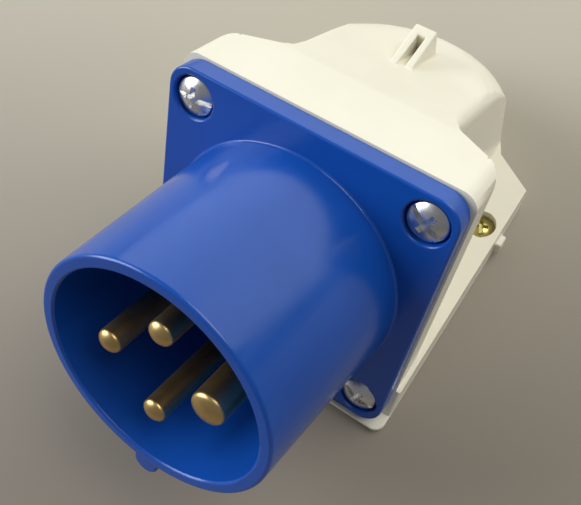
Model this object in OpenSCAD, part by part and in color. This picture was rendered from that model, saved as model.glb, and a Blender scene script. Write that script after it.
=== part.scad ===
// Wall mounted appliance inlet: a four-pole pin and sleeve inlet on an angled housing.
// The part lies on its wall face: Z = 0 is the wall, +Z points out of it and +Y up it.
// The origin is the centre of the four wall-fixing holes. Sizes are in millimetres.
// Flange frame: its origin is where the collar axis meets the flange's front face,
// with X to the right, Y up the flange and Z out along the collar.

/* [Collar] */
// Outside diameter of the collar at its rim
collar_d = 49.6; // [47:0.2:52]
// Wall of the collar at its rim
collar_wall = 2.6; // [2:0.1:3.2]
// Length of the collar over the flange face
collar_l = 39.4; // [34:0.2:44]
// Draft of the collar's inner and outer wall, degrees
collar_draft = 1.8; // [0.8:0.1:2.2]
// Bevel of the rim's edges
rim_bevel = 0.4; // [0.2:0.1:0.7]
// Radius of the fillet between collar and flange
collar_fillet = 0.6; // [0.3:0.1:1.2]
// Width of the key rib below the collar
key_w = 5.4; // [4:0.2:6]
// Height of the key rib over the rim's outside
key_h = 4.5; // [3.4:0.1:4.8]
// Step from the rim back to the end of the key rib
key_step = 0.5; // [0.2:0.1:2]

/* [Contacts] */
// Diameter of the circle on which the pins stand
pin_circle_d = 21.6; // [20:0.2:23]
// Turn of the earth pin round the collar axis, degrees
turn_earth = 0; // [-8:1:8]
// Turn of the phase pin at the top, degrees
turn_l2 = 90; // [82:1:98]
// Turn of the phase pin at the left, degrees
turn_l1 = 180; // [172:1:188]
// Turn of the phase pin at the bottom, degrees
turn_l3 = 270; // [262:1:278]
// Diameter of a phase pin
pin_d = 5.0; // [4.4:0.1:5.4]
// Diameter of the earth pin
earth_d = 7.0; // [6:0.1:7.4]
// Distance of the pin tips below the rim
tip_drop = 0.9; // [0.5:0.1:4]
// Height of the dome on a pin tip
tip_dome = 1.1; // [0.6:0.1:1.6]
// How far a pin's root stands out round the pin
root_out = 0.2; // [0.1:0.05:0.2]
// Height of a pin's root over the collar floor
root_h = 0.6; // [0.4:0.1:1]
// How far a pin's shoulder stands out round the pin
shoulder_out = 1.6; // [1.2:0.1:1.8]
// Thickness of a pin's shoulder
shoulder_t = 2.0; // [1.5:0.1:2.6]
// Diameter of a pin's rear barrel
barrel_d = 7.4; // [7:0.1:7.8]
// Length of a pin's rear barrel
barrel_l = 13.0; // [12.6:0.1:13.4]
// Diameter of the wire hole in a barrel
wire_d = 3.8; // [3:0.1:4.2]
// Depth of the wire hole
wire_l = 8.5; // [8:0.1:9]
// Diameter of a terminal screw
term_d = 3.4; // [3:0.1:3.6]
// Diameter of a terminal screw's head
term_head_d = 5.4; // [5:0.1:5.6]
// Height of a terminal screw's head
term_head_h = 2.0; // [1.8:0.1:2.2]
// Width of the slot in a terminal screw
term_slot = 0.9; // [0.7:0.1:1]
// Distance of a terminal screw's end from the barrel's axis
term_end = 0.3; // [0.2:0.1:0.6]
// Distance of a terminal screw from the barrel's rear end
term_in = 4.6; // [4:0.1:5]
// Thickness of the contact carrier
carrier_t = 7.5; // [7:0.1:8]
// Diameter of the carrier's screws
carrier_screw_d = 3.0; // [2.6:0.1:3.2]
// Diameter of a carrier screw's head
carrier_head_d = 5.4; // [5:0.1:5.6]
// Height of a carrier screw's head
carrier_head_h = 2.0; // [1.8:0.1:2.2]
// Turn of the carrier's screws round the collar axis, degrees
carrier_turn = 45; // [42:1:48]
// Distance of the carrier's screws from the collar axis
carrier_screw_r = 16.4; // [16:0.1:17]
// Depth of the carrier's screws in the collar floor
carrier_screw_in = 3.6; // [3:0.1:3.8]

/* [Flange] */
// Width and height of the flange
flange_w = 62.0; // [61:0.2:64]
// Thickness of the flange
flange_t = 4.7; // [4.5:0.1:5.2]
// Corner radius of the flange
flange_r = 5.0; // [4:0.2:6]
// Height of the flange's centre over the collar axis
flange_lift = 1.0; // [0:0.2:1.4]
// Distance of the flange screws from the flange's edges
screw_in = 5.9; // [5.7:0.1:6.2]
// Depth of the counterbore round a flange screw's head
bore_sink = 1.9; // [1.4:0.1:2.2]
// Length of the locating ring behind the flange
ring_l = 4.0; // [3.4:0.1:4.4]
// Wall of the locating ring
ring_wall = 2.4; // [2:0.1:2.6]
// Distance of the locating ring from the flange's edges
ring_in = 5.4; // [5.2:0.1:5.7]

/* [Flange screws] */
// Diameter of a flange screw's shank
screw_d = 4.0; // [3.6:0.1:4.2]
// Length of a flange screw under its head
screw_l = 9.0; // [8.4:0.1:9.2]
// Diameter of a flange screw's head
screw_head_d = 8.0; // [7.4:0.1:8.4]
// Height of a flange screw's head
screw_head_h = 2.4; // [2:0.1:2.8]
// Width of the slot in a flange screw
screw_slot = 1.1; // [0.9:0.1:1.3]

/* [Housing] */
// Angle between the flange and the wall
tilt = 60; // [58:0.5:62]
// Wall thickness of the housing
wall = 2.6; // [2.4:0.1:2.8]
// Thickness of the wall that the flange seats on
front_wall = 3.0; // [2.6:0.1:3.2]
// Wall of the bosses round the flange screws
boss_wall = 2.5; // [2.2:0.1:2.7]
// Length of a boss past the end of its screw
boss_end = 1.0; // [0.8:0.1:1.4]
// How far the housing stands out round the flange
frame_margin = 0.4; // [0.2:0.1:0.6]
// Y where the roof bends down into the hood
bend_y = 8.0; // [6:0.2:10]
// Slope of the hood's roof towards the wall, degrees
roof_slope = 36; // [34:0.5:38]
// Radius of the roof's edges behind the flange
edge_round = 3.8; // [3.4:0.1:4.2]
// Radius of the roof's edge round the hood
hood_round = 12.0; // [11.4:0.2:12.4]
// Diameter of the hood's round end
hood_d = 51.2; // [50.2:0.2:52]
// Y of the hood's centre
hood_y = 18.1; // [17:0.1:19]
// Width of the slotted lug on the roof
lug_w = 5.2; // [4.6:0.1:6.2]
// Length of the lug up the roof
lug_l = 14.0; // [12:0.2:15]
// Width of the lug's slot
lug_slot = 1.8; // [1.4:0.1:2.2]
// Y of the lug's upper end
lug_y = 32.4; // [31:0.2:34]
// Height of the lug's top over the wall
lug_z = 39.4; // [38:0.2:41]
// Thickness of the bridge at the lug's upper end
lug_bridge = 2.4; // [1.8:0.1:3]

/* [Scoops] */
// X of the scoop's inner corner on the roof
scoop_x = 19.0; // [18.6:0.1:19.6]
// Y of the scoop's inner corner on the roof
scoop_y = 9.8; // [9.4:0.1:10.6]
// Turn of the scoop's lower wall towards the flange, degrees
scoop_turn = 27.5; // [25:0.5:30]
// Turn of the scoop's upper wall towards the middle of the hood, degrees
scoop_lean = 5.5; // [4.5:0.5:6.5]
// Draft of the scoop's upper wall, degrees
scoop_draft = 6.5; // [5.5:0.5:7.5]
// Radius in the scoop's inner corner
scoop_r = 3.5; // [2.6:0.1:4.4]
// Radius of the corner between the scoop and the housing's side
scoop_edge = 7.6; // [7:0.2:7.6]

/* [Base] */
// Width of the base
base_w = 64.8; // [64.4:0.2:67]
// Y of the lower edge of the base
base_y = -40.4; // [-42:0.2:-40]
// Y of the base's shoulders
shoulder_y = 24.0; // [23:0.2:25]
// Rise of the base's shoulders, degrees
shoulder_rise = 30; // [28:0.5:32]
// Radius of the lower corners of the base
base_r = 2.4; // [1.6:0.2:4]
// Height of the side ledges over the wall
ledge_z = 10.0; // [9.6:0.1:10.8]
// Distance of the housing screws from the base's sides
ledge_screw_in = 4.5; // [4.2:0.1:4.8]
// Y of the housing screws
ledge_screw_y = 11.6; // [11.2:0.1:12.4]
// Depth of the recess over a housing screw
ledge_sink = 3.4; // [2.8:0.1:3.8]
// Diameter of the recess over a housing screw
ledge_sink_d = 6.4; // [6.2:0.1:6.8]
// Diameter of the post round a housing screw
post_d = 8.4; // [8.2:0.1:8.8]
// How far the nubs stand out of the base's sides
nub_out = 1.5; // [0.8:0.1:2]
// Width of a nub
nub_w = 3.0; // [2.4:0.1:4]
// Height of a nub
nub_h = 4.4; // [3.6:0.1:5]

/* [Back plate] */
// Thickness of the back plate
plate_t = 2.2; // [2:0.1:2.6]
// Distance of the wall-fixing holes across
fix_x = 28.0; // [24:0.5:30]
// Distance of the wall-fixing holes up the wall
fix_y = 50.0; // [46:0.5:51]
// Diameter of a wall-fixing hole
fix_d = 4.5; // [4:0.1:5.2]
// Height of the plate's locating rim
rim_h = 2.0; // [1.6:0.1:2.4]
// Wall of the plate's locating rim
rim_t = 1.5; // [1.2:0.1:1.8]
// Height of the plate's posts under the housing screws
plate_post = 2.0; // [1.6:0.1:2.4]
// Diameter of a housing screw
ledge_screw_d = 3.4; // [3:0.1:3.6]
// Diameter of a housing screw's head
ledge_head_d = 5.6; // [5.2:0.1:5.8]
// Height of a housing screw's head
ledge_head_h = 2.0; // [1.7:0.1:2.4]
// Plate left under a housing screw
plate_skin = 0.6; // [0.4:0.1:0.9]

/* [Seals and cable entry] */
// Thickness of the flange gasket
gasket_t = 1.2; // [1:0.1:1.5]
// Width of the flange gasket
gasket_w = 2.0; // [1.6:0.1:2.2]
// Distance of the flange gasket from the hole behind the flange
gasket_in = 0.8; // [0.6:0.1:1]
// Thickness of the back seal
seal_t = 1.0; // [0.8:0.1:1.2]
// Width of the back seal
seal_w = 1.0; // [0.8:0.1:1.2]
// Distance of the back seal from the base's outline
seal_in = 0.8; // [0.6:0.1:0.9]
// Diameter of the cable entry in the hood
entry_d = 13.0; // [12:0.2:13.6]
// Height of the cable entry over the wall
entry_z = 11.2; // [11:0.1:11.6]
// Bore of the grommet
cable_d = 9.0; // [7:0.2:10]
// Lip of the grommet round the entry
grommet_lip = 1.6; // [1.2:0.1:1.8]
// Lip of the grommet inside the hood
inner_lip = 1.1; // [0.9:0.1:1.3]
// How far the pad inside the hood stands out round the grommet's outer lip
entry_pad = 1.0; // [0.6:0.1:1.2]
// Thickness of the grommet's lips
grommet_t = 1.4; // [1.2:0.1:1.8]

/* [Clearances] */
// Clearance round a pin, barrel, shoulder or screw
fit = 0.1; // [0.05:0.01:0.2]
// Clearance round the locating ring, and of the plate's rim to the housing
slide = 0.3; // [0.2:0.05:0.4]
// Clearance round a flange screw's head
head_gap = 0.5; // [0.3:0.1:0.6]
// Clearance of the flange's lower edge to the back plate
foot_gap = 0.3; // [0.2:0.05:0.6]

/* [Hidden] */
$fn = 96;
eps = 0.5;

// Collar radii
rim_r = collar_d / 2;
foot_r = rim_r + collar_l * tan(collar_draft);
mouth_r = rim_r - collar_wall;
floor_r = mouth_r - collar_l * tan(collar_draft);
pin_r = pin_circle_d / 2;
tip_c = collar_l - tip_drop;
barrel_c = -flange_t - shoulder_t - barrel_l;
ring_d = flange_w - 2 * ring_in;
carrier_r = ring_d / 2 - ring_wall - slide;
screw_pitch = flange_w - 2 * screw_in;
ledge_screw_x = base_w / 2 - ledge_screw_in;

// Flange frame in the part's frame
face_y = -fix_y / 2;
face_z = (flange_w / 2 - flange_lift) * sin(tilt) + flange_t * cos(tilt) + plate_t + foot_gap;
frame_w = flange_w + 2 * frame_margin;
frame_top = flange_lift + frame_w / 2;
hole_r = ring_d / 2 + slide;
gasket_r = hole_r + gasket_in;
boss_d = screw_d + 2 * boss_wall;
boss_l = screw_l - (flange_t - bore_sink) + boss_end;

// Roof: square to the flange from its upper edge to the bend, then steeper over the hood
roof_y = face_y + frame_top * cos(tilt) + flange_t * sin(tilt);
roof_top = face_z + frame_top * sin(tilt) - flange_t * cos(tilt);
bend_z = roof_top - (bend_y - roof_y) * tan(90 - tilt);
function roof_z(y) = y < bend_y ? roof_top - (y - roof_y) * tan(90 - tilt)
                                : bend_z - (y - bend_y) * tan(roof_slope);

// Right scoop: its lower wall runs parallel to the flange's height, its upper wall stands
// at its draft, and both meet in a slanting inner corner
scoop_c = (roof_z(scoop_y) - face_z) * cos(tilt) - (scoop_y - face_y) * sin(tilt);
low_n = [sin(scoop_turn), cos(scoop_turn) * sin(tilt), -cos(scoop_turn) * cos(tilt)];
high_n = [cos(scoop_draft) * cos(scoop_lean), cos(scoop_draft) * sin(scoop_lean), sin(scoop_draft)];
corner_v = cross(high_n, low_n) / norm(cross(high_n, low_n));
corner_tip = acos(corner_v[2]);
corner_dir = atan2(corner_v[1], corner_v[0]);
corner_x = [cos(corner_tip) * cos(corner_dir), cos(corner_tip) * sin(corner_dir), -sin(corner_tip)];
corner_y = [-sin(corner_dir), cos(corner_dir), 0];
function corner_angle(v) = atan2(v * corner_y, v * corner_x);

// Hood and cable entry
hood_r = hood_d / 2;
hood_end = hood_y + hood_r;
entry_flat = hood_end - (hood_r - sqrt(hood_r * hood_r - pow(entry_d / 2 + grommet_lip + slide, 2)));
entry_inner = entry_flat - wall;

// Lower edge of the housing on the back plate, behind the flange
toe_b = (plate_t - face_z + flange_t * cos(tilt)) / sin(tilt);
toe_y = face_y + toe_b * cos(tilt) + flange_t * sin(tilt);

module at_flange() translate([0, face_y, face_z]) rotate([tilt, 0, 0]) children();

module at_pin(turn) at_flange() rotate([0, 0, turn]) translate([pin_r, 0, 0]) children();

module at_flange_screws() {
    for (x = [-1, 1], y = [-1, 1])
        at_flange() translate([x * screw_pitch / 2, flange_lift + y * screw_pitch / 2, 0]) children();
}

module at_carrier_screws() {
    for (turn = [carrier_turn, carrier_turn + 180])
        at_flange() rotate([0, 0, turn]) translate([carrier_screw_r, 0, 0]) children();
}

module at_ledge_screws() {
    for (x = [-1, 1]) translate([x * ledge_screw_x, ledge_screw_y, 0]) children();
}

module at_entry(y) translate([0, y, entry_z]) rotate([-90, 0, 0]) children();

// Rectangle with true round corners
module round_rect(w, h, r) {
    square([w - 2 * r, h], center = true);
    square([w, h - 2 * r], center = true);
    for (x = [-1, 1], y = [-1, 1]) translate([x * (w / 2 - r), y * (h / 2 - r)]) circle(r = r);
}

// Outline of the base, drawn in by g, with its lower edge at y0
module base_outline(g, y0) {
    w = base_w / 2 - g;
    drop = g / cos(shoulder_rise);
    side_y = shoulder_y + g * tan(shoulder_rise) - drop;
    peak_y = shoulder_y + base_w / 2 * tan(shoulder_rise) - drop;
    intersection() {
        polygon([[-w, y0 + g], [w, y0 + g], [w, side_y], [0, peak_y], [-w, side_y]]);
        translate([0, y0 + g + 100]) round_rect(2 * w, 200, max(base_r - g, 0.5));
    }
    translate([0, hood_y]) circle(r = hood_r - g);
}

// Hollow at the right side of the hood, grown by g
module scoop(g) {
    low = corner_angle(cross(low_n, corner_v));
    turn = corner_angle(cross(corner_v, high_n)) - low;
    high = low + (turn < 0 ? turn + 360 : turn);
    half = (high - low) / 2;
    mid = (high + low) / 2;
    c = scoop_r / sin(half) * [cos(mid), sin(mid)];
    p = c + (scoop_r + g) * [sin(low), -cos(low)];
    q = c + (scoop_r + g) * [-sin(high), cos(high)];
    translate([scoop_x, scoop_y, roof_z(scoop_y)])
        rotate([0, corner_tip, corner_dir])
            linear_extrude(160, center = true) {
                polygon([p, p + 50 * [cos(low), sin(low)], c + 90 * [cos(mid), sin(mid)],
                         q + 50 * [cos(high), sin(high)], q]);
                translate(c) circle(r = scoop_r + g);
            }
}

// What the rounded corner between scoop and side takes off, drawn in by g
module scoop_corner(g) {
    side = frame_w / 2;
    r = scoop_edge - g;
    c = [side - scoop_edge, scoop_c + (side - scoop_edge - scoop_x) * tan(scoop_turn)
         + scoop_edge / cos(scoop_turn)];
    out = [sin(scoop_turn), -cos(scoop_turn)];
    at_flange() rotate([90, 0, 0]) linear_extrude(200, center = true) difference() {
        polygon([c, [c[0] + r + 4, c[1]], [c[0] + r + 4, c[1] - r - 6], c + (r + 5) * out]);
        translate(c) circle(r = r);
    }
}

// Both scoops with their rounded corners
module scoops(g) {
    for (s = [0, 1]) mirror([s, 0, 0]) {
        scoop(g);
        scoop_corner(g);
    }
}

// Outline of the housing without its scoops, drawn in by g
module core_outline(g) {
    translate([g - frame_w / 2, face_y - 40]) square([frame_w - 2 * g, hood_y - face_y + 40]);
    translate([0, hood_y]) circle(r = hood_r - g);
}

// Roof with rounded edges, a little wider than the walls below it, drawn in by g
module roof_form(g) {
    over = 0.25;
    x = frame_w / 2 + over - edge_round;
    r = hood_r + over - hood_round;
    hull() {
        for (s = [-1, 1], y = [roof_y - 14, bend_y - 1])
            translate([s * x, y, roof_z(y) - edge_round / sin(tilt)]) sphere(r = edge_round - g, $fn = 32);
        for (s = [-1, 1])
            translate([s * x, bend_y + 1, roof_z(bend_y + 1) - edge_round / cos(roof_slope)])
                sphere(r = edge_round - g, $fn = 32);
        for (a = [-90 : 10 : 90])
            translate([r * sin(a), hood_y + r * cos(a),
                       roof_z(hood_y + r * cos(a)) - hood_round / cos(roof_slope)])
                sphere(r = hood_round - g, $fn = 32);
        translate([0, hood_y, -5]) cylinder(r = hood_r + over - g, h = 1, $fn = 36);
        translate([g - frame_w / 2 - over, face_y - 60, -5])
            cube([frame_w + 2 * over - 2 * g, bend_y + 1 - face_y + 60, 1]);
    }
}

// Pan head with a slot and a cross recess, its seat on Z = 0
module pan_screw(d, l, head_d, head_h, slot_w, turn) {
    dome = head_h * 0.55;
    ball = (dome * dome + head_d * head_d / 4) / (2 * dome);
    rotate([0, 0, turn]) difference() {
        union() {
            translate([0, 0, -l]) cylinder(d = d, h = l);
            intersection() {
                cylinder(d = head_d, h = head_h);
                translate([0, 0, head_h - ball]) sphere(r = ball);
            }
        }
        if (slot_w > 0)
            translate([-head_d, -slot_w / 2, head_h - 0.9]) cube([2 * head_d, slot_w, 2]);
        for (a = [0, 90]) rotate([0, 0, a])
            translate([-head_d * 0.28, -head_d * 0.075, head_h - 1.5])
                cube([head_d * 0.56, head_d * 0.15, 3]);
    }
}

// Pin with domed tip, root, shoulder, and rear barrel with wire hole and terminal thread
module contact(d) {
    ball = (tip_dome * tip_dome + d * d / 4) / (2 * tip_dome);
    difference() {
        union() {
            difference() {
                translate([0, 0, -flange_t]) cylinder(d = d, h = flange_t + tip_c + eps);
                translate([0, 0, tip_c - tip_dome - 0.4]) difference() {
                    cylinder(d = d + 2, h = tip_dome + 2);
                    translate([0, 0, tip_dome + 0.4 - ball]) sphere(r = ball);
                }
            }
            translate([0, 0, -flange_t]) cylinder(d = d + 2 * root_out, h = flange_t + root_h);
            translate([0, 0, -flange_t - shoulder_t]) cylinder(d = d + 2 * shoulder_out, h = shoulder_t);
            translate([0, 0, barrel_c]) cylinder(d = barrel_d, h = barrel_l);
        }
        translate([0, 0, barrel_c - eps]) cylinder(d = wire_d, h = wire_l + eps);
        translate([0, 0, barrel_c + term_in]) rotate([0, 90, 0])
            cylinder(d = term_d + 2 * fit, h = barrel_d);
    }
}

// Collar, flange, key rib and locating ring in one moulding
module inlet_body() {
    color("royalblue") difference() {
        at_flange() union() {
            translate([0, flange_lift, -flange_t])
                linear_extrude(flange_t) round_rect(flange_w, flange_w, flange_r);
            rotate_extrude() polygon([
                [floor_r, 0], [foot_r, 0], [rim_r + rim_bevel * tan(collar_draft), collar_l - rim_bevel],
                [rim_r - rim_bevel, collar_l], [mouth_r + rim_bevel, collar_l],
                [mouth_r - rim_bevel * tan(collar_draft), collar_l - rim_bevel]]);
            difference() {
                cylinder(r = foot_r + collar_fillet, h = collar_fillet);
                translate([0, 0, -eps]) cylinder(r = foot_r - 1, h = collar_fillet + 2 * eps);
                rotate_extrude() translate([foot_r + collar_fillet, collar_fillet])
                    circle(r = collar_fillet);
            }
            linear_extrude(collar_l - key_step) {
                translate([-key_w / 2, -rim_r - key_h + key_w / 2]) square([key_w, key_h - key_w / 2 + 1]);
                translate([0, -rim_r - key_h + key_w / 2]) circle(d = key_w);
            }
            translate([0, 0, -flange_t - ring_l]) difference() {
                cylinder(d = ring_d, h = ring_l);
                translate([0, 0, -eps]) cylinder(d = ring_d - 2 * ring_wall, h = ring_l + eps);
            }
        }
        for (turn = [turn_l1, turn_l2, turn_l3])
            at_pin(turn) translate([0, 0, -flange_t - eps])
                cylinder(d = pin_d + 2 * root_out + 2 * fit, h = flange_t + 2 * eps);
        at_pin(turn_earth) translate([0, 0, -flange_t - eps])
            cylinder(d = earth_d + 2 * root_out + 2 * fit, h = flange_t + 2 * eps);
        at_flange_screws() {
            translate([0, 0, -flange_t - eps]) cylinder(d = screw_d + 4 * fit, h = flange_t + 2 * eps);
            translate([0, 0, -bore_sink]) cylinder(d = screw_head_d + 2 * head_gap, h = bore_sink + eps);
        }
        at_carrier_screws() translate([0, 0, -flange_t - eps])
            cylinder(d = carrier_screw_d + 2 * fit, h = carrier_screw_in + 0.4 + eps);
    }
}

// Insulating disc that holds the pins' shoulders against the collar floor
module contact_carrier() {
    color("dimgray") difference() {
        at_flange() translate([0, 0, -flange_t - carrier_t]) cylinder(r = carrier_r, h = carrier_t);
        for (turn = [turn_l1, turn_l2, turn_l3, turn_earth]) at_pin(turn) {
            d = (turn == turn_earth ? earth_d : pin_d) + 2 * shoulder_out;
            translate([0, 0, -flange_t - shoulder_t]) cylinder(d = d + 2 * fit, h = shoulder_t + eps);
            translate([0, 0, -flange_t - carrier_t - eps])
                cylinder(d = barrel_d + 2 * fit, h = carrier_t + 2 * eps);
        }
        at_carrier_screws() translate([0, 0, -flange_t - carrier_t - eps])
            cylinder(d = carrier_screw_d + 2 * fit, h = carrier_t + 2 * eps);
    }
}

module pin_l1() color("goldenrod") at_pin(turn_l1) contact(pin_d);

module pin_l2() color("goldenrod") at_pin(turn_l2) contact(pin_d);

module pin_l3() color("goldenrod") at_pin(turn_l3) contact(pin_d);

module pin_earth() color("goldenrod") at_pin(turn_earth) contact(earth_d);

// Clamp screws, each turned into its barrel as far as the wire hole's middle
module terminal_screws() {
    color("silver") for (turn = [turn_l1, turn_l2, turn_l3, turn_earth])
        at_pin(turn) translate([barrel_d / 2 + fit, 0, barrel_c + term_in]) rotate([0, 90, 0])
            pan_screw(term_d, barrel_d / 2 + fit - term_end, term_head_d, term_head_h, term_slot, 0);
}

module carrier_screws() {
    color("silver") at_carrier_screws() translate([0, 0, -flange_t - carrier_t]) mirror([0, 0, 1])
        pan_screw(carrier_screw_d, carrier_t + carrier_screw_in, carrier_head_d, carrier_head_h, 0, 20);
}

// Ring in a groove of the wall that the flange seats on
module flange_gasket() {
    color("black") at_flange() translate([0, 0, -flange_t - gasket_t]) difference() {
        cylinder(r = gasket_r + gasket_w, h = gasket_t);
        translate([0, 0, -eps]) cylinder(r = gasket_r, h = gasket_t + 2 * eps);
    }
}

module flange_screws() {
    turns = [[35, 0], [-20, -28]];
    color("silver") for (x = [0, 1], y = [0, 1])
        at_flange() translate([(2 * x - 1) * screw_pitch / 2, flange_lift + (2 * y - 1) * screw_pitch / 2,
                               -bore_sink])
            pan_screw(screw_d, screw_l, screw_head_d, screw_head_h, screw_slot, turns[x][y]);
}

// Solid outside form of the housing
module housing_outside() {
    difference() {
        union() {
            difference() {
                intersection() {
                    translate([0, 0, plate_t]) linear_extrude(80) core_outline(0);
                    roof_form(0);
                }
                scoops(0);
            }
            translate([0, 0, plate_t]) linear_extrude(ledge_z - plate_t) base_outline(0, base_y);
            lug_foot = roof_z(lug_y) - 4;
            difference() {
                translate([-lug_w / 2, lug_y - lug_l, lug_foot]) cube([lug_w, lug_l, lug_z - lug_foot]);
                translate([-lug_slot / 2, lug_y - lug_l - eps, roof_z(lug_y)])
                    cube([lug_slot, lug_l + eps - lug_bridge, 30]);
            }
            for (s = [-1, 1])
                translate([s * (base_w + nub_out - eps) / 2, ledge_screw_y, plate_t + nub_h / 2])
                    cube([nub_out + eps, nub_w, nub_h], center = true);
        }
        at_flange() translate([-100, -100, -flange_t]) cube([200, 200, 100]);
        translate([-100, -100, plate_t - 100]) cube([200, 200, 100]);
    }
}

// Room inside the housing, open to the back
module housing_inside() {
    difference() {
        union() {
            difference() {
                intersection() {
                    translate([0, 0, -1]) linear_extrude(90) core_outline(wall);
                    roof_form(wall);
                }
                scoops(wall);
            }
            translate([0, 0, -1]) linear_extrude(ledge_z - wall + 1) base_outline(wall, base_y);
        }
        at_flange() translate([-100, -100, -flange_t - front_wall]) cube([200, 200, 100]);
        at_flange_screws() translate([0, 0, -flange_t - boss_l]) cylinder(d = boss_d, h = boss_l);
        at_ledge_screws() translate([0, 0, plate_t + plate_post + slide]) cylinder(d = post_d, h = ledge_z);
        at_entry(entry_inner) cylinder(d = entry_d + 2 * (grommet_lip + entry_pad), h = 20);
    }
}

// Cream moulding with sloping roof, hood, scoops, ledges and lug
module housing() {
    color("ivory") difference() {
        housing_outside();
        housing_inside();
        at_flange() translate([0, 0, -flange_t - front_wall - eps])
            cylinder(r = hole_r, h = front_wall + 2 * eps);
        at_flange() translate([0, 0, -flange_t - gasket_t]) difference() {
            cylinder(r = gasket_r + gasket_w, h = gasket_t + eps);
            translate([0, 0, -eps]) cylinder(r = gasket_r, h = gasket_t + 3 * eps);
        }
        at_flange_screws() translate([0, 0, -bore_sink - screw_l - 0.4])
            cylinder(d = screw_d + 2 * fit, h = screw_l + 2);
        at_ledge_screws() {
            cylinder(d = ledge_screw_d + 4 * fit, h = 30);
            translate([0, 0, ledge_z - ledge_sink]) cylinder(d = ledge_sink_d, h = 30);
        }
        at_entry(entry_inner - eps) cylinder(d = entry_d, h = 20);
        at_entry(entry_flat) cylinder(d = entry_d + 2 * (grommet_lip + slide), h = 20);
        at_entry(entry_inner - grommet_t - slide)
            cylinder(d = entry_d + 2 * (inner_lip + slide), h = grommet_t + slide);
    }
}

// Yellow screws from the ledges into the back plate
module housing_screws() {
    color("darkkhaki") at_ledge_screws() translate([0, 0, ledge_z - ledge_sink])
        pan_screw(ledge_screw_d, ledge_z - ledge_sink - plate_skin - 0.2, ledge_head_d, ledge_head_h, 0, 25);
}

// Plate on the wall: locating rim, two screw posts, four wall-fixing holes, seal groove
module back_plate() {
    color("ivory") difference() {
        union() {
            linear_extrude(plate_t) base_outline(0, base_y);
            difference() {
                translate([0, 0, plate_t - eps]) linear_extrude(rim_h + eps) difference() {
                    base_outline(wall + slide, base_y);
                    base_outline(wall + slide + rim_t, base_y);
                }
                translate([-60, base_y - 10, 0]) cube([120, face_y + 6 - base_y + 10, 30]);
                translate([-entry_d, hood_y + hood_r / 2, 0]) cube([2 * entry_d, 40, 30]);
                at_ledge_screws() cylinder(d = post_d + 2 * slide, h = 30);
            }
            intersection() {
                at_ledge_screws() cylinder(d = post_d - 1, h = plate_t + plate_post);
                linear_extrude(30) base_outline(wall + slide, base_y);
            }
        }
        for (x = [-1, 1], y = [-1, 1])
            translate([x * fix_x / 2, y * fix_y / 2, -eps]) cylinder(d = fix_d, h = plate_t + 2 * eps);
        at_ledge_screws() translate([0, 0, plate_skin]) cylinder(d = ledge_screw_d + 2 * fit, h = 30);
        translate([0, 0, plate_t - seal_t]) linear_extrude(seal_t + eps) seal_outline();
    }
}

module seal_outline() {
    difference() {
        base_outline(seal_in, toe_y);
        base_outline(seal_in + seal_w, toe_y);
    }
}

module back_seal() {
    color("black") translate([0, 0, plate_t - seal_t]) linear_extrude(seal_t) seal_outline();
}

// Rubber sleeve with two lips in the hood's end wall
module entry_grommet() {
    color("dimgray") difference() {
        union() {
            at_entry(entry_flat) cylinder(d = entry_d + 2 * grommet_lip, h = grommet_t);
            at_entry(entry_inner) cylinder(d = entry_d, h = wall);
            at_entry(entry_inner - grommet_t) cylinder(d = entry_d + 2 * inner_lip, h = grommet_t);
        }
        at_entry(entry_inner - grommet_t - eps) cylinder(d = cable_d, h = wall + 2 * grommet_t + 2 * eps);
    }
}

inlet_body();
contact_carrier();
pin_l1();
pin_l2();
pin_l3();
pin_earth();
terminal_screws();
carrier_screws();
flange_gasket();
flange_screws();
housing();
housing_screws();
back_plate();
back_seal();
entry_grommet();
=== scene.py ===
import math

import bmesh
import bpy
from mathutils import Matrix, Vector
from mathutils.bvhtree import BVHTree
from mathutils.kdtree import KDTree


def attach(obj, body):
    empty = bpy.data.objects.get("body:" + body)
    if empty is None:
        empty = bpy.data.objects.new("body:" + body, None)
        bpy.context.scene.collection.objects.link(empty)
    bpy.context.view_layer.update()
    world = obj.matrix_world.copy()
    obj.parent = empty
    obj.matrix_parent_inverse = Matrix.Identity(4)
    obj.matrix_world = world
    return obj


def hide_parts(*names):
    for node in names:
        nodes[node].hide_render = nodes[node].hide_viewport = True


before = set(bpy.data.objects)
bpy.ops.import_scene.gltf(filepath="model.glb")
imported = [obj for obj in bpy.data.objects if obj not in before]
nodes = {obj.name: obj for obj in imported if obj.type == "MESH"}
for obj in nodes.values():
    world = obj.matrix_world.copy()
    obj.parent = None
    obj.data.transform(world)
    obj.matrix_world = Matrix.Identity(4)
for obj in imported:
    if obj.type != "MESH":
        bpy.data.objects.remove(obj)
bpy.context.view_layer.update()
scene = bpy.context.scene
scene.view_settings.view_transform = "Standard"

# Sizes are in mm unless a comment says otherwise
MM = 0.001

# Flange frame: origin on the collar axis at the flange's face, Z out along the collar
TILT = math.radians(60)
FACE = Vector((0.0, -25.0, 30.8308))
FLANGE = Matrix.Translation(FACE * MM) @ Matrix.Rotation(TILT, 4, "X")
FLANGE_T = 4.7
FLANGE_LIFT = 1.0


# Materials

NOISE_SPAN = (0.3, 0.7)


def new_material(name):
    mat = bpy.data.materials.new(name)
    mat.use_nodes = True
    nt = mat.node_tree
    nt.nodes.clear()
    out = nt.nodes.new("ShaderNodeOutputMaterial")
    bsdf = nt.nodes.new("ShaderNodeBsdfPrincipled")
    nt.links.new(bsdf.outputs["BSDF"], out.inputs["Surface"])
    return mat, nt, bsdf


def coords(nt):
    return nt.nodes.new("ShaderNodeTexCoord").outputs["Object"]


def noise(nt, vec, scale, detail=3.0, rough=0.55):
    n = nt.nodes.new("ShaderNodeTexNoise")
    n.inputs["Scale"].default_value = scale
    n.inputs["Detail"].default_value = detail
    n.inputs["Roughness"].default_value = rough
    nt.links.new(vec, n.inputs["Vector"])
    return n.outputs["Fac"]


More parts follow.
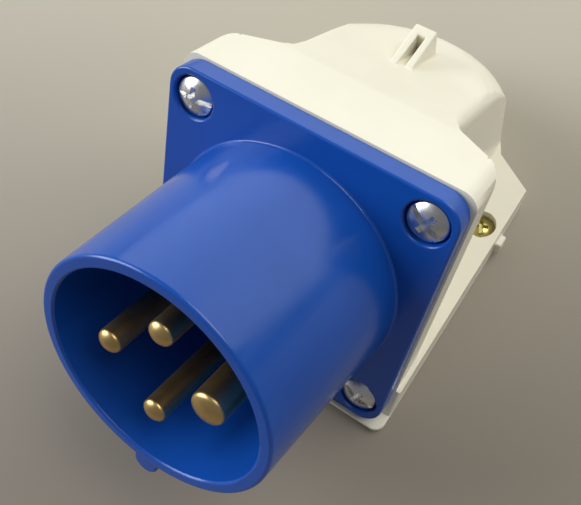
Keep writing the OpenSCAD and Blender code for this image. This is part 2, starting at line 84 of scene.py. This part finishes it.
def ramp(nt, fac, stops):
    """A colour ramp through (position, colour) stops."""
    r = nt.nodes.new("ShaderNodeValToRGB")
    els = r.color_ramp.elements
    while len(els) > 1:
        els.remove(els[-1])
    els[0].position = stops[0][0]
    els[0].color = (*stops[0][1], 1)
    for p, c in stops[1:]:
        e = els.new(p)
        e.color = (*c, 1)
    nt.links.new(fac, r.inputs["Fac"])
    return r.outputs["Color"]


def to_range(nt, fac, low, high):
    """The usual span of a noise, stretched from low to high."""
    m = nt.nodes.new("ShaderNodeMapRange")
    m.inputs["From Min"].default_value = NOISE_SPAN[0]
    m.inputs["From Max"].default_value = NOISE_SPAN[1]
    m.inputs["To Min"].default_value = low
    m.inputs["To Max"].default_value = high
    nt.links.new(fac, m.inputs["Value"])
    return m.outputs["Result"]


def slope(nt, vec, direction, span):
    """0 to 1 along a direction, from span before the origin to span after it."""
    dot = nt.nodes.new("ShaderNodeVectorMath")
    dot.operation = "DOT_PRODUCT"
    dot.inputs[1].default_value = direction
    nt.links.new(vec, dot.inputs[0])
    m = nt.nodes.new("ShaderNodeMapRange")
    m.interpolation_type = "SMOOTHSTEP"
    m.inputs["From Min"].default_value = -span
    m.inputs["From Max"].default_value = span
    nt.links.new(dot.outputs["Value"], m.inputs["Value"])
    return m.outputs["Result"]


def bump(nt, height, strength, distance, normal=None):
    b = nt.nodes.new("ShaderNodeBump")
    b.inputs["Strength"].default_value = strength
    b.inputs["Distance"].default_value = distance
    nt.links.new(height, b.inputs["Height"])
    if normal is not None:
        nt.links.new(normal, b.inputs["Normal"])
    return b.outputs["Normal"]


# Plastic and rubber: noise scales per m, and strength and depth in m of the two bumps
CLOUD, SMEAR, WAVES, SKIN = 38.0, 120.0, 90.0, 2600.0
WAVE_BUMP = (0.04, 0.0003)
SKIN_BUMP = (0.05, 0.00005)
PLASTIC_IOR = 1.5


def moulded(name, low, mid, high, rough):
    """Moulded material: faint clouds in its colour, uneven gloss and a very fine skin."""
    mat, nt, bsdf = new_material(name)
    vec = coords(nt)
    colour = ramp(nt, noise(nt, vec, CLOUD, 4.0), [(0.28, low), (0.5, mid), (0.74, high)])
    nt.links.new(colour, bsdf.inputs["Base Color"])
    gloss = to_range(nt, noise(nt, vec, SMEAR, 5.0, 0.62), *rough)
    nt.links.new(gloss, bsdf.inputs["Roughness"])
    skin = bump(nt, noise(nt, vec, SKIN, 2.0), *SKIN_BUMP)
    waves = bump(nt, noise(nt, vec, WAVES, 2.0), *WAVE_BUMP, skin)
    nt.links.new(waves, bsdf.inputs["Normal"])
    bsdf.inputs["IOR"].default_value = PLASTIC_IOR
    return mat


# Metal: noise scale per m of its stains, and strength and depth in m of its bump
STAINS = 260.0
GRAIN_BUMP = (0.02, 0.00002)


def metal(name, low, mid, high, rough, grain):
    """Plain or plated metal: faint stains and a fine worked surface."""
    mat, nt, bsdf = new_material(name)
    vec = coords(nt)
    colour = ramp(nt, noise(nt, vec, STAINS, 4.0), [(0.3, low), (0.5, mid), (0.72, high)])
    nt.links.new(colour, bsdf.inputs["Base Color"])
    gloss = to_range(nt, noise(nt, vec, grain), *rough)
    nt.links.new(gloss, bsdf.inputs["Roughness"])
    worked = bump(nt, noise(nt, vec, grain, 2.0), *GRAIN_BUMP)
    nt.links.new(worked, bsdf.inputs["Normal"])
    bsdf.inputs["Metallic"].default_value = 1.0
    return mat


blue = moulded("blue_plastic", (0.005, 0.065, 0.36), (0.006, 0.074, 0.40),
               (0.008, 0.083, 0.44), (0.20, 0.27))
cream = moulded("cream_plastic", (0.80, 0.77, 0.63), (0.84, 0.81, 0.67),
                (0.87, 0.84, 0.71), (0.28, 0.38))
grey = moulded("grey_plastic", (0.05, 0.05, 0.055), (0.06, 0.06, 0.065),
               (0.075, 0.075, 0.08), (0.4, 0.55))
rubber = moulded("black_rubber", (0.010, 0.010, 0.010), (0.014, 0.014, 0.014),
                 (0.02, 0.02, 0.02), (0.55, 0.75))
grey_rubber = moulded("grey_rubber", (0.03, 0.03, 0.03), (0.04, 0.04, 0.04),
                      (0.05, 0.05, 0.05), (0.5, 0.7))
brass = metal("brass", (0.62, 0.42, 0.16), (0.70, 0.49, 0.20),
              (0.76, 0.55, 0.24), (0.34, 0.38), 120.0)
zinc = metal("zinc", (0.70, 0.71, 0.72), (0.78, 0.78, 0.78),
             (0.84, 0.84, 0.83), (0.24, 0.36), 500.0)
yellow = metal("yellow_zinc", (0.50, 0.42, 0.14), (0.60, 0.52, 0.20),
               (0.66, 0.60, 0.30), (0.2, 0.36), 500.0)

LOOKS = {
    "inlet_body": (blue, "blue_plastic"),
    "contact_carrier": (grey, "grey_plastic"),
    "pin_l1": (brass, "brass"),
    "pin_l2": (brass, "brass"),
    "pin_l3": (brass, "brass"),
    "pin_earth": (brass, "brass"),
    "terminal_screws": (zinc, "zinc"),
    "carrier_screws": (zinc, "zinc"),
    "flange_gasket": (rubber, "black_rubber"),
    "flange_screws": (zinc, "zinc"),
    "housing": (cream, "cream_plastic"),
    "housing_screws": (yellow, "yellow_zinc"),
    "back_plate": (cream, "cream_plastic"),
    "back_seal": (rubber, "black_rubber"),
    "entry_grommet": (grey_rubber, "grey_rubber"),
}
for name, (mat, _) in LOOKS.items():
    nodes[name].data.materials.clear()
    nodes[name].data.materials.append(mat)


# Dressed pieces

CRISP_MOULDED = 50
CRISP_TURNED = 30


def stand_for(name, mesh):
    """A dressed piece that stands for a CAD node."""
    mat, slot = LOOKS[name]
    mesh.materials.clear()
    mesh.materials.append(mat)
    mesh.name = name + "_form"
    ob = bpy.data.objects.new(name + "_form", mesh)
    scene.collection.objects.link(ob)
    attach(ob, "root")
    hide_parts(name)
    return ob


def shade(bm, angle):
    """Smooth shading, with edges over an angle in degrees kept crisp."""
    for f in bm.faces:
        f.smooth = True
    for e in bm.edges:
        e.smooth = not (e.is_manifold and e.calc_face_angle() > math.radians(angle))


def even_normals(ob):
    mod = ob.modifiers.new("shading", "WEIGHTED_NORMAL")
    mod.keep_sharp = True
    mod.weight = 60


def evaluated(mesh, setup):
    """The mesh after the modifiers that setup adds to it."""
    ob = bpy.data.objects.new("work", mesh)
    scene.collection.objects.link(ob)
    setup(ob)
    graph = bpy.context.evaluated_depsgraph_get()
    done = bpy.data.meshes.new_from_object(ob.evaluated_get(graph))
    bpy.data.objects.remove(ob)
    bpy.data.meshes.remove(mesh)
    return done


def point_tree(pairs):
    """A search tree of (point, number) pairs."""
    pairs = list(pairs)
    tree = KDTree(len(pairs))
    for p, i in pairs:
        tree.insert(p, i)
    tree.balance()
    return tree


# Rounded edges on the moulded pieces. WELD is in m. A rounding may take one part in ROOM of a
# face's width and is at least LEAST wide. One that strays by more than STRAY of its width, or
# that turns a face over, is left out.
SHARP = math.radians(35)
FLAT = math.radians(0.4)
WELD = 2e-6
SEGMENTS = 3
ROOM = 2.2
LEAST = 0.05
STRAY = 0.75
TURNED = -0.2
TRIES = 10


def welded(name):
    """A CAD node's mesh with joined points, and with its flat stretches as single faces."""
    bm = bmesh.new()
    bm.from_mesh(nodes[name].data)
    bmesh.ops.remove_doubles(bm, verts=bm.verts, dist=WELD)
    bmesh.ops.dissolve_limit(bm, angle_limit=FLAT, verts=bm.verts, edges=bm.edges)
    return bm


def weigh_edges(bm, tree, edge, pick):
    """Bevel weights for the sharp edges that pick takes, less where their faces are narrow."""
    weight = bm.edges.layers.float.new("bevel_weight_edge")
    for e in bm.edges:
        if not e.is_manifold or e.calc_face_angle() < SHARP:
            continue
        mid = (e.verts[0].co + e.verts[1].co) / 2 / MM
        if pick is not None and not pick(mid, e, tree):
            continue
        room = min(f.calc_area() for f in e.link_faces) / e.calc_length() / MM / ROOM
        if room > LEAST:
            e[weight] = min(1.0, room / edge)
    return weight


def bevelled(bm, name, edge):
    """The mesh with its weighted edges rounded."""
    mesh = bpy.data.meshes.new(name)
    bm.to_mesh(mesh)

    def bevel(ob):
        mod = ob.modifiers.new("edges", "BEVEL")
        mod.limit_method = "WEIGHT"
        mod.width = edge * MM
        mod.segments = SEGMENTS
        mod.use_clamp_overlap = False
        mod.offset_type = "OFFSET"

    return evaluated(mesh, bevel)


def pushed_out(out, tree, places, edge):
    """Points of the plain mesh near which the rounded one strays from it or turns over."""
    far = {v.index: tree.find_nearest(v.co)[3] > edge * MM * STRAY for v in out.verts}
    bad = {v for v in out.verts if far[v.index]}
    for f in out.faces:
        if tree.find_nearest(f.calc_center_median())[1].dot(f.normal) < TURNED:
            bad.update(f.verts)
    near = {w for v in bad for w in [v] + [e.other_vert(v) for e in v.link_edges]}
    return {places.find(w.co)[1] for w in near if not far[w.index]}


def soften(name, edge, pick=None, after=None):
    """A copy of a CAD node with rounded sharp edges. Pick chooses the edges, and after changes
    the rounded mesh further."""
    bm = welded(name)
    tree = BVHTree.FromBMesh(bm)
    places = point_tree((v.co, v.index) for v in bm.verts)
    weight = weigh_edges(bm, tree, edge, pick)
    left_out = set()
    for tries in range(1, TRIES + 1):
        for e in bm.edges:
            if e.verts[0].index in left_out or e.verts[1].index in left_out:
                e[weight] = 0.0
        done = bevelled(bm, name, edge)
        out = bmesh.new()
        out.from_mesh(done)
        more = pushed_out(out, tree, places, edge) - left_out
        if not more or tries == TRIES:
            break
        left_out |= more
        out.free()
        bpy.data.meshes.remove(done)
    bm.free()
    if after is not None:
        after(out)
    shade(out, CRISP_MOULDED)
    out.to_mesh(done)
    out.free()
    even_normals(stand_for(name, done))


# Which edges of the inlet body are rounded, in the flange frame
RIM_Z = 30.0
FLANGE_EDGE_R = 29.0
REAR_GAP = 0.1


def to_flange(p):
    """A point as across, up and out of the flange."""
    d = p - FACE
    return Vector((d.x, d.y * math.cos(TILT) + d.z * math.sin(TILT),
                   d.z * math.cos(TILT) - d.y * math.sin(TILT)))


def body_edges(mid, e, tree):
    """Edges of the flange's outline and counterbores, and of the collar's rim."""
    q = to_flange(mid)
    if q.z < -FLANGE_T - REAR_GAP:
        return False
    return q.z > RIM_Z or math.hypot(q.x, q.y) > FLANGE_EDGE_R


# Start in m of the ray that tells an outer edge
RAY_START = 0.0003


def outside(mid, e, tree):
    """Edges that face open space."""
    n = (e.link_faces[0].normal + e.link_faces[1].normal).normalized()
    return tree.ray_cast(mid * MM + n * RAY_START, n)[0] is None


# Scoops beside the hood: the edge of the roof over their inner walls has a wider rounding, which
# fades out at both ends of SCOOP_Y. The roof and the walls are told by their normal and place.
SCOOP_ROUND = 1.7
SCOOP_Y = (9.5, 34.0)
SCOOP_FADE = (5.0, 8.0)
SCOOP_WALL = Vector((0.989, 0.095, 0.113))
WALL_LIKE = 0.99
WALL_X = 13.0
ROOF_NZ = 0.25
ROOF_Z = 15.0
# The finer mesh along it: edge length, step of the search, and shares of the rounding that say
# how far it is split and moved. SLIVER is in m and SPECK in square m.
GRID = 0.5
LONGEST = 1.5
LOOK = 1.5
SPLIT_REACH = 1.3
MOVE_REACH = 1.6
SLIVER = 1e-5
SPECK = 1e-9
SPLITS = 8
SMOOTHINGS = 3


def scoop_side(f):
    """Whether a face of the housing is the inner wall of a scoop, the roof, or neither."""
    c = f.calc_center_median() / MM
    n = f.normal
    if n.z > ROOF_NZ and c.z > ROOF_Z:
        return "roof"
    to_right = Vector((n.x * math.copysign(1, c.x), n.y, n.z))
    if abs(c.x) > WALL_X and to_right.dot(SCOOP_WALL) > WALL_LIKE:
        return "wall"
    return None


def scoop_edge(e):
    return {scoop_side(f) for f in e.link_faces} == {"roof", "wall"} and e.is_convex


def housing_edges(mid, e, tree):
    """Outer edges, without those over the scoops."""
    return outside(mid, e, tree) and not scoop_edge(e)


def along(e, step):
    """Points on an edge that are at most a step apart."""
    a, b = (v.co for v in e.verts)
    count = int((b - a).length / MM / step) + 2
    return [a.lerp(b, i / (count - 1)) for i in range(count)]


def side_tree(bm, kind):
    """The triangles of the roof or of the walls, as they are before the rounding."""
    faces = [f for f in bm.faces if scoop_side(f) == kind and len(f.verts) == 3]
    corners = [v.co.copy() for f in faces for v in f.verts]
    triangles = [(3 * i, 3 * i + 1, 3 * i + 2) for i in range(len(faces))]
    return BVHTree.FromPolygons(corners, triangles)


def split_sides(bm, near):
    """Splits the triangles near the crease until their edges are short."""
    for _ in range(SPLITS):
        long = [e for e in bm.edges if e.calc_length() > GRID * LONGEST * MM and near(e)
                and any(scoop_side(f) and len(f.verts) == 3 and f.calc_area() > SPECK
                        for f in e.link_faces)]
        if not long:
            break
        around = {f for e in long for f in e.link_faces if len(f.verts) > 3}
        bmesh.ops.subdivide_edges(bm, edges=long, cuts=1)
        split = [f for f in bm.faces if len(f.verts) > 3 and f not in around
                 and scoop_side(f) and any(near(e) for e in f.edges)]
        bmesh.ops.triangulate(bm, faces=split)


def onto_rounding(p, roof, wall):
    """The step back from a point to the rounding, or None where it lies on or inside it."""
    _, n1, _, d1 = roof.find_nearest(p)
    _, n2, _, d2 = wall.find_nearest(p)
    ends = min((p.y / MM - SCOOP_Y[0]) / SCOOP_FADE[0], (SCOOP_Y[1] - p.y / MM) / SCOOP_FADE[1])
    r = SCOOP_ROUND * min(1.0, max(0.0, ends))
    a, b = r - d1 / MM, r - d2 / MM
    reach = math.hypot(a, b)
    if min(a, b) > 0 and reach > r:
        return (n1 * a + n2 * b) * (reach - r) / reach * MM
    return None


def ease_scoops(bm):
    """Rounds the edges between the scoops and the roof, on a finer mesh along them."""
    spots = [p for e in bm.edges
             if e.is_manifold and e.calc_face_angle() > SHARP and scoop_edge(e)
             for p in along(e, GRID)]
    crease = point_tree((p, i) for i, p in enumerate(spots))

    def near(e):
        return any(crease.find(p)[2] < SCOOP_ROUND * SPLIT_REACH * MM for p in along(e, LOOK))

    beside = [f for f in bm.faces if scoop_side(f) and any(near(e) for e in f.edges)]
    beside = set(bmesh.ops.triangulate(bm, faces=beside)["faces"])
    touched = [e for e in bm.edges if beside.intersection(e.link_faces)]
    bmesh.ops.dissolve_degenerate(bm, dist=SLIVER, edges=touched)
    roof, wall = side_tree(bm, "roof"), side_tree(bm, "wall")
    split_sides(bm, near)
    moved = []
    for v in bm.verts:
        whole = all(scoop_side(f) or f.calc_area() < SPECK for f in v.link_faces)
        if crease.find(v.co)[2] > SCOOP_ROUND * MOVE_REACH * MM or not whole:
            continue
        step = onto_rounding(v.co, roof, wall)
        if step is not None:
            moved.append((v, step))
    for v, step in moved:
        v.co -= step
    for _ in range(SMOOTHINGS):
        bmesh.ops.smooth_vert(bm, verts=[v for v, _ in moved], factor=0.5,
                              use_axis_x=True, use_axis_y=True, use_axis_z=True)


soften("inlet_body", 0.5, body_edges)
soften("housing", 0.5, housing_edges, ease_scoops)
soften("back_plate", 0.35, outside)
soften("entry_grommet", 0.3)


# Turned pieces

ON_AXIS = 1e-6
EDGE_STEPS, DOME_STEPS = 6, 10


def lathe(profile, turns=96):
    """A closed mesh turned from (radius, height) points, first and last on the axis."""
    bm = bmesh.new()
    angles = [2 * math.pi * i / turns for i in range(turns)]
    rings = []
    for r, h in profile:
        if r < ON_AXIS:
            rings.append([bm.verts.new((0, 0, h * MM))])
        else:
            rings.append([bm.verts.new((r * MM * math.cos(a), r * MM * math.sin(a), h * MM))
                          for a in angles])
    for a, b in zip(rings, rings[1:]):
        for i in range(turns):
            j = (i + 1) % turns
            corners = [a[i % len(a)], a[j % len(a)], b[j % len(b)], b[i % len(b)]]
            bm.faces.new(list(dict.fromkeys(corners)))
    bmesh.ops.recalc_face_normals(bm, faces=bm.faces)
    return bm


def arc(cx, cy, r, start, end, steps):
    """Points on a circle between two angles in degrees."""
    angles = [math.radians(start + (end - start) * i / steps) for i in range(steps + 1)]
    return [(cx + r * math.cos(a), cy + r * math.sin(a)) for a in angles]


def domed_end(r, top, dome, edge):
    """The profile of a shank's end: a round edge, which lies inside both, and a dome."""
    ball = (dome ** 2 + r ** 2) / (2 * dome)
    low = top - ball
    cx = r - edge
    cy = low + math.sqrt((ball - edge) ** 2 - cx ** 2)
    meet = math.degrees(math.atan2(cy - low, cx))
    return (arc(cx, cy, edge, 0, meet, EDGE_STEPS)
            + arc(0, low, ball, meet, 90, DOME_STEPS)[1:-1] + [(0, top)])


# Contacts: sizes as in the CAD nodes, heights from the flange's face
PIN_CIRCLE = 10.8
TIP = 38.5
TIP_DOME = 1.1
TIP_EDGE = 1.0
ROOT_H, ROOT_OUT, ROOT_EDGE = 0.6, 0.2, 0.1
SHOULDER_T, SHOULDER_OUT = 2.0, 1.6
BARREL_R, BARREL_L = 3.7, 13.0
WIRE_R, WIRE_L = 1.9, 8.5


def contact(name, r, turn):
    """A turned contact with a rounded tip."""
    shoulder = -FLANGE_T - SHOULDER_T
    rear = shoulder - BARREL_L
    profile = [(0, rear + WIRE_L), (WIRE_R, rear + WIRE_L), (WIRE_R, rear), (BARREL_R, rear),
               (BARREL_R, shoulder), (r + SHOULDER_OUT, shoulder),
               (r + SHOULDER_OUT, -FLANGE_T), (r + ROOT_OUT, -FLANGE_T),
               (r + ROOT_OUT, ROOT_H - ROOT_EDGE), (r + ROOT_OUT - ROOT_EDGE, ROOT_H),
               (r, ROOT_H)]
    bm = lathe(profile + domed_end(r, TIP, TIP_DOME, TIP_EDGE))
    shade(bm, CRISP_TURNED)
    mesh = bpy.data.meshes.new(name)
    bm.to_mesh(mesh)
    bm.free()
    mesh.transform(FLANGE @ Matrix.Rotation(math.radians(turn), 4, "Z")
                   @ Matrix.Translation((PIN_CIRCLE * MM, 0, 0)))
    even_normals(stand_for(name, mesh))


contact("pin_earth", 3.5, 0)
contact("pin_l2", 2.5, 90)
contact("pin_l1", 2.5, 180)
contact("pin_l3", 2.5, 270)


# Screws

DOME_SHARE = 0.55
HEAD_EDGE = 0.1
END_CHAMFER = 0.4
CUT_OVER = 1.0
SCREW_TURNS = 72


def box_mesh(w, d, low, high):
    """A box round the Z axis."""
    bm = bmesh.new()
    bmesh.ops.create_cube(bm, size=1.0)
    for v in bm.verts:
        v.co = Vector((v.co.x * w, v.co.y * d, low + (v.co.z + 0.5) * (high - low))) * MM
    mesh = bpy.data.meshes.new("cutter")
    bm.to_mesh(mesh)
    bm.free()
    return mesh


def pan_screw(r, length, head_r, head_h, edge, cuts):
    """A pan head screw on Z = 0. Each cut is a box: width, depth across and bottom height."""
    profile = [(0, -length), (r - END_CHAMFER, -length), (r, END_CHAMFER - length), (r, 0),
               (head_r - HEAD_EDGE, 0), (head_r, HEAD_EDGE)]
    bm = lathe(profile + domed_end(head_r, head_h, head_h * DOME_SHARE, edge), SCREW_TURNS)
    mesh = bpy.data.meshes.new("screw")
    bm.to_mesh(mesh)
    bm.free()
    for w, d, bottom in cuts:
        tool = bpy.data.objects.new("tool", box_mesh(w, d, bottom, head_h + CUT_OVER))
        scene.collection.objects.link(tool)

        def cut(ob):
            mod = ob.modifiers.new("cut", "BOOLEAN")
            mod.operation = "DIFFERENCE"
            mod.solver = "EXACT"
            mod.object = tool

        mesh = evaluated(mesh, cut)
        bpy.data.objects.remove(tool)
    return mesh


def place_screws(name, mesh, spots):
    """Copies of a screw in one piece."""
    whole = bmesh.new()
    for spot in spots:
        copy = mesh.copy()
        copy.transform(spot)
        whole.from_mesh(copy)
        bpy.data.meshes.remove(copy)
    shade(whole, CRISP_TURNED)
    done = bpy.data.meshes.new(name)
    whole.to_mesh(done)
    whole.free()
    even_normals(stand_for(name, done))


# Flange screws: a slot across the head and a cross in its middle, each head turned its own way
SCREW_X = 25.1
SINK = 1.9
TURNS = {(-1, -1): 35, (-1, 1): 0, (1, -1): -20, (1, 1): -28}
head = pan_screw(r=2.0, length=9.0, head_r=4.0, head_h=2.4, edge=0.35,
                 cuts=[(9.0, 1.1, 1.1), (4.5, 1.2, 0.9), (1.2, 4.5, 0.9)])
place_screws("flange_screws", head, [
    FLANGE @ Matrix.Translation(Vector((x * SCREW_X, FLANGE_LIFT + y * SCREW_X, -SINK)) * MM)
    @ Matrix.Rotation(math.radians(turn), 4, "Z") for (x, y), turn in TURNS.items()])

# Housing screws in the ledges: a cross only
LEDGE = (27.9, 11.6, 6.6)
LEDGE_TURN = math.radians(25)
small = pan_screw(r=1.7, length=5.8, head_r=2.8, head_h=2.0, edge=0.3,
                  cuts=[(3.1, 0.85, 0.6), (0.85, 3.1, 0.6)])
place_screws("housing_screws", small, [
    Matrix.Translation(Vector((side * LEDGE[0], LEDGE[1], LEDGE[2])) * MM)
    @ Matrix.Rotation(LEDGE_TURN, 4, "Z") for side in (-1, 1)])


# Floor, lengths in m: painted light falloff. Its colour grows paler along FLOOR_UP, the picture's
# way up and the side the light comes from, and darker the other way, over FLOOR_SPAN either way of
# the part
FLOOR_HALF = 3.0
FLOOR_UP = (-0.30, 0.954, 0.0)
FLOOR_SPAN = 0.09
FLOOR_SHADED = (0.21, 0.182, 0.148)
FLOOR_LIT = (0.47, 0.437, 0.357)
FLOOR_CLOUD = 5.0
FLOOR_SHIFT = 0.05
FLOOR_ROUGH = 0.7


def floor_material():
    mat, nt, bsdf = new_material("floor")
    vec = coords(nt)
    cloud = to_range(nt, noise(nt, vec, FLOOR_CLOUD), -FLOOR_SHIFT, FLOOR_SHIFT)
    both = nt.nodes.new("ShaderNodeMath")
    both.operation = "ADD"
    # painted light and shade: the floor is paler along FLOOR_UP, towards the lamps, and darker
    # away from them
    nt.links.new(slope(nt, vec, FLOOR_UP, FLOOR_SPAN), both.inputs[0])
    nt.links.new(cloud, both.inputs[1])
    colour = ramp(nt, both.outputs["Value"], [(0.0, FLOOR_SHADED), (1.0, FLOOR_LIT)])
    nt.links.new(colour, bsdf.inputs["Base Color"])
    bsdf.inputs["Roughness"].default_value = FLOOR_ROUGH
    return mat


def make_floor():
    """Flat floor, which is the wall that the part lies on, with light falloff painted into its
    colour.
    """
    bm = bmesh.new()
    for x, y in ((-1, -1), (1, -1), (1, 1), (-1, 1)):
        bm.verts.new((x * FLOOR_HALF, y * FLOOR_HALF, 0.0))
    bm.faces.new(bm.verts)
    me = bpy.data.meshes.new("floor")
    bm.to_mesh(me)
    bm.free()
    me.materials.append(floor_material())
    ob = bpy.data.objects.new("floor", me)
    scene.collection.objects.link(ob)


make_floor()


# Light: a soft world, a key over the hood, a wide low window behind the part, a fill from the left
WORLD_COLOUR = (0.95, 0.97, 1.0, 1)
WORLD_STRENGTH = 0.17

world = bpy.data.worlds.new("studio")
scene.world = world
world.use_nodes = True
bg = world.node_tree.nodes["Background"]
bg.inputs["Color"].default_value = WORLD_COLOUR
bg.inputs["Strength"].default_value = WORLD_STRENGTH


def area(name, loc, aim, size, power, colour):
    """A rectangular lamp, lengths in m and power in W."""
    lamp = bpy.data.lights.new(name, "AREA")
    lamp.shape = "RECTANGLE"
    lamp.size, lamp.size_y = size
    lamp.energy = power
    lamp.color = colour
    ob = bpy.data.objects.new(name, lamp)
    ob.location = loc
    ob.rotation_mode = "QUATERNION"
    ob.rotation_quaternion = (Vector(aim) - Vector(loc)).to_track_quat("-Z", "Y")
    scene.collection.objects.link(ob)


area("key", loc=(0.40, 0.42, 0.95), aim=(0, 0, 0.03), size=(0.8, 0.7), power=7.0,
     colour=(1.0, 0.97, 0.92))
area("window", loc=(-0.10, 0.85, 0.34), aim=(0, 0, 0.04), size=(2.2, 0.6), power=5.4,
     colour=(0.95, 0.99, 0.97))
area("fill", loc=(-0.72, -0.30, 0.50), aim=(0, -0.02, 0.03), size=(0.6, 0.6), power=7.5,
     colour=(0.95, 0.97, 1.0))


# The photograph's camera: its axes and place, and its focal length and picture width in pixels
CAM_RIGHT = Vector((0.82094, 0.557096, -0.125304))
CAM_UP = Vector((-0.48613, 0.796988, 0.358451))
CAM_BACK = Vector((0.299557, -0.233353, 0.925101))
CAM_AT = Vector((46.7216, -58.0511, 172.1797))
FOCAL_PX = 753.9
PHOTO_W_PX = 581.0
SENSOR = 36.0

cam = bpy.data.cameras.new("camera")
cam.sensor_width = SENSOR
cam.lens = SENSOR * FOCAL_PX / PHOTO_W_PX
cam.clip_start, cam.clip_end = 0.005, 20.0
cam_ob = bpy.data.objects.new("camera", cam)
cam_turn = Matrix((CAM_RIGHT, CAM_UP, CAM_BACK)).transposed().to_4x4()
cam_ob.matrix_world = Matrix.Translation(CAM_AT * MM) @ cam_turn
scene.collection.objects.link(cam_ob)
scene.camera = cam_ob
